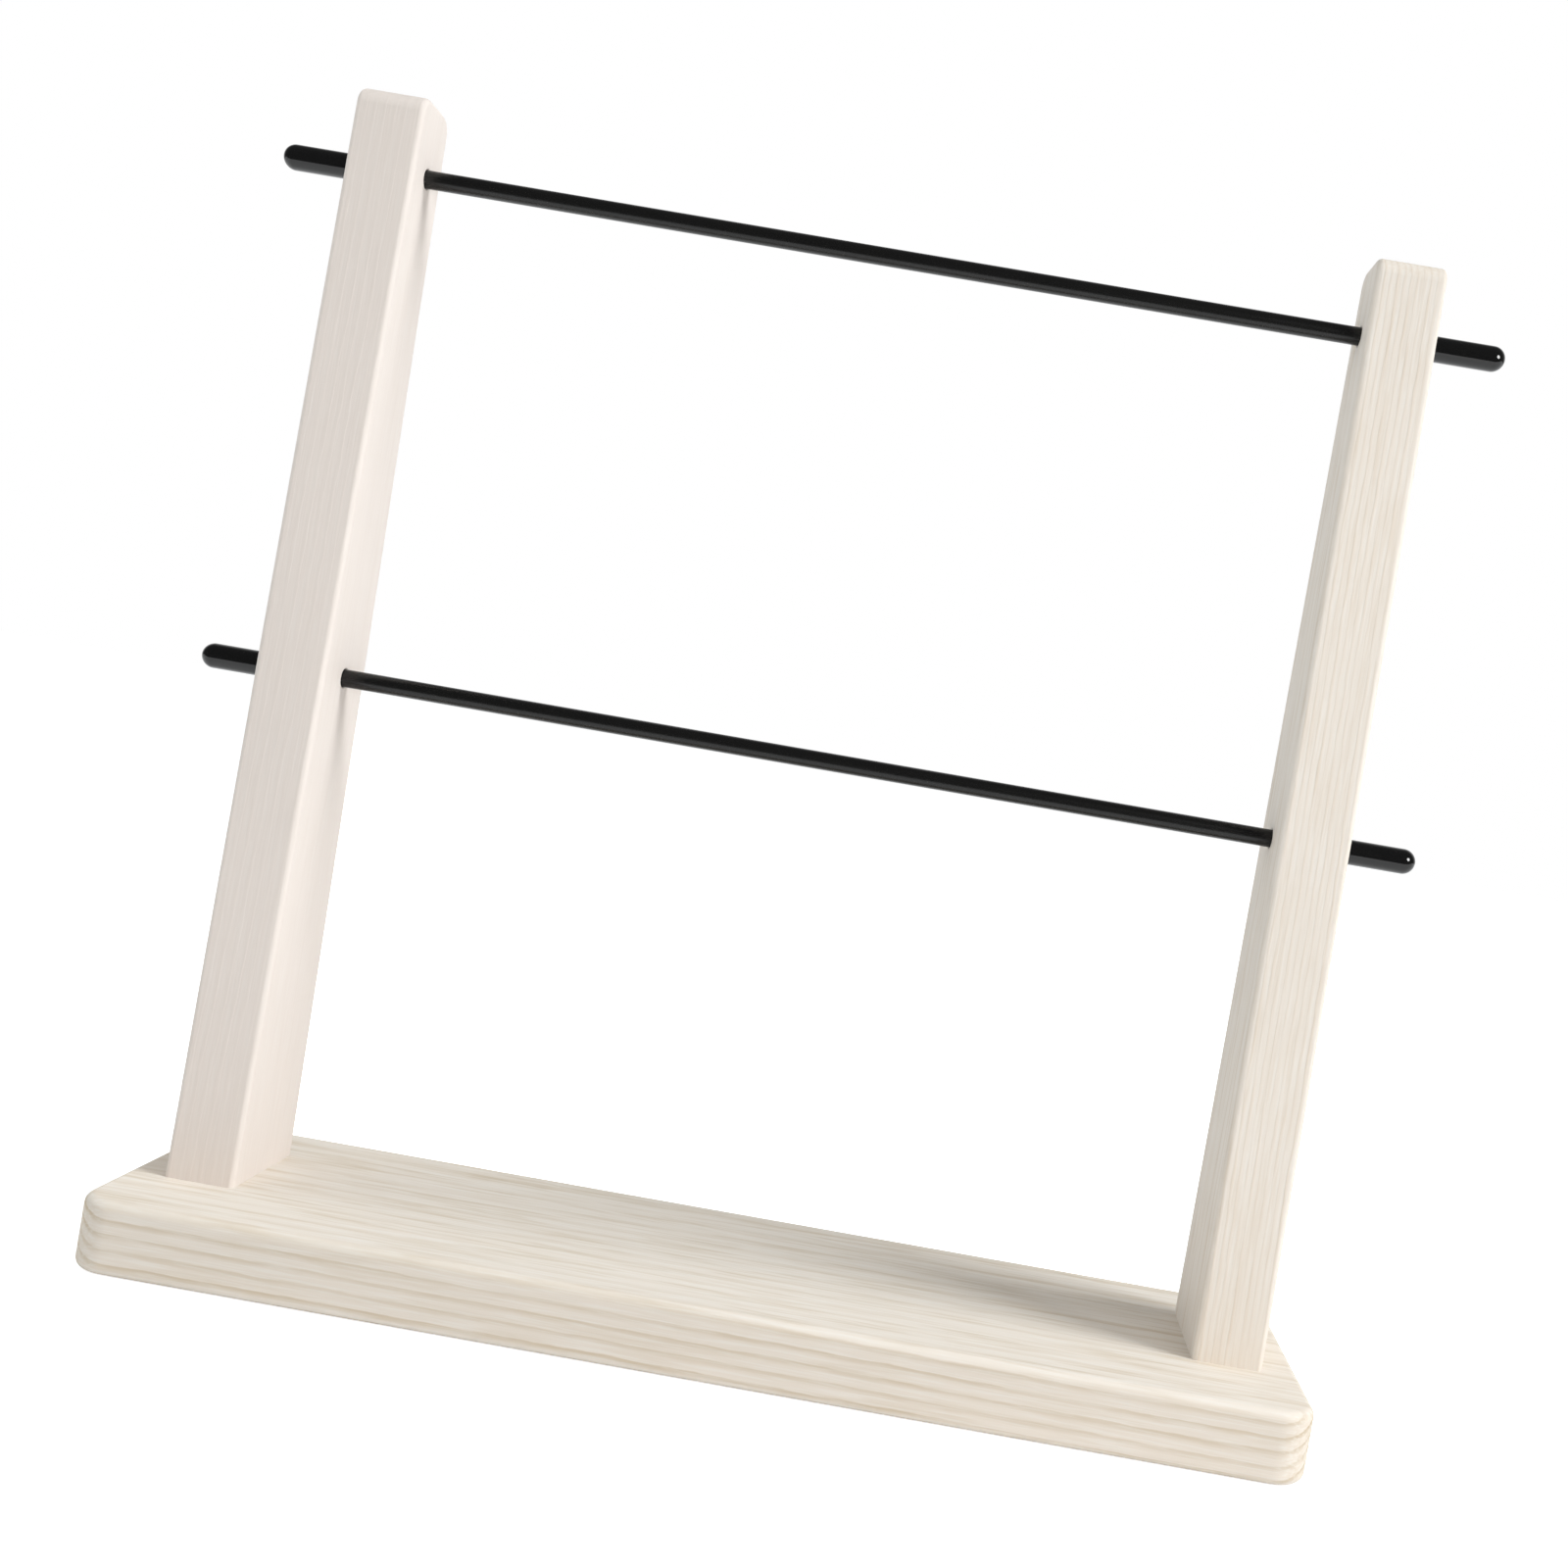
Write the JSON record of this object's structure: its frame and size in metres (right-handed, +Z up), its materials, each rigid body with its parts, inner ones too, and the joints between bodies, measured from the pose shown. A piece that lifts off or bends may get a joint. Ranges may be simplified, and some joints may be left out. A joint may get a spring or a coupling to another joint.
{
  "type": "yarn holder",
  "caption": "Tabletop yarn holder: a wooden base board with tapered uprights that carry removable black rods with push-on end caps, on which yarn turns as it is drawn off.",
  "frame": {"origin": "middle of the base board's underside, on the surface that the holder stands on", "axes": "+X along the rods to the right, +Y to the back, +Z up; the front faces -Y"},
  "size_m": [0.3416, 0.09, 0.319],
  "materials": {
    "pale_wood": "pale matt oiled wood",
    "black_rod": "black satin coating",
    "black_cap": "glossy black vinyl",
    "zinc_screw": "bright zinc"
  },
  "bodies": {
    "stand": {"base_board": "pale_wood", "left_upright": "pale_wood", "right_upright": "pale_wood", "left_front_screw": "zinc_screw", "left_back_screw": "zinc_screw", "right_front_screw": "zinc_screw", "right_back_screw": "zinc_screw"},
    "upper_left_end": {"upper_rod_left_cap": "black_cap"},
    "upper_spindle": {"upper_rod": "black_rod"},
    "upper_right_end": {"upper_rod_right_cap": "black_cap"},
    "lower_left_end": {"lower_rod_left_cap": "black_cap"},
    "lower_spindle": {"lower_rod": "black_rod"},
    "lower_right_end": {"lower_rod_right_cap": "black_cap"}
  },
  "joints": [
    {"name": "upper_rod_spin", "type": "hinge", "parent": "stand", "child": "upper_left_end", "pos_m": [0, 0.003, 0.299], "axis": [1, 0, 0], "continuous": true},
    {"name": "upper_rod_draw", "type": "slide", "parent": "upper_left_end", "child": "upper_spindle", "axis": [1, 0, 0], "range_m": [0, 0.3]},
    {"name": "upper_right_cap_pull", "type": "slide", "parent": "upper_spindle", "child": "upper_right_end", "axis": [1, 0, 0], "range_m": [0, 0.02]},
    {"name": "lower_rod_spin", "type": "hinge", "parent": "stand", "child": "lower_left_end", "pos_m": [0, 0.003, 0.159], "axis": [1, 0, 0], "continuous": true},
    {"name": "lower_rod_draw", "type": "slide", "parent": "lower_left_end", "child": "lower_spindle", "axis": [1, 0, 0], "range_m": [0, 0.3]},
    {"name": "lower_right_cap_pull", "type": "slide", "parent": "lower_spindle", "child": "lower_right_end", "axis": [1, 0, 0], "range_m": [0, 0.02]}
  ]
}
